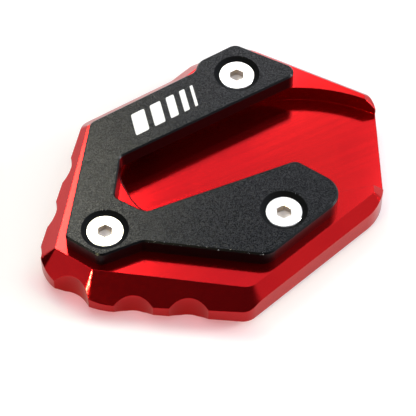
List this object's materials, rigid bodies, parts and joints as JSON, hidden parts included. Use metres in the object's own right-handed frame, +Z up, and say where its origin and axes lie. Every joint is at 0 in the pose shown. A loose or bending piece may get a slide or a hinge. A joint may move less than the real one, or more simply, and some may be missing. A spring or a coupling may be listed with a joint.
{
  "type": "kickstand foot enlarger",
  "caption": "Milled foot plate with a pocket for a motorbike side stand's foot, and a slotted clamp plate screwed over it, so the stand sinks less into soft ground.",
  "frame": {"origin": "on the ground face, below the middle of the pocket for the stand's foot", "axes": "+X along the pocket towards its open end, +Z up from the ground, +Y to the side with the long upper arm"},
  "size_m": [0.1134, 0.088, 0.017],
  "materials": {
    "red_anodised": "bright red anodised, milled",
    "black_anodised": "black anodised over fine blasting",
    "stainless": "bright turned stainless"
  },
  "bodies": {
    "root": {"base_plate": "red_anodised", "clamp_plate": "black_anodised", "clamp_screws": "stainless"}
  },
  "joints": []
}
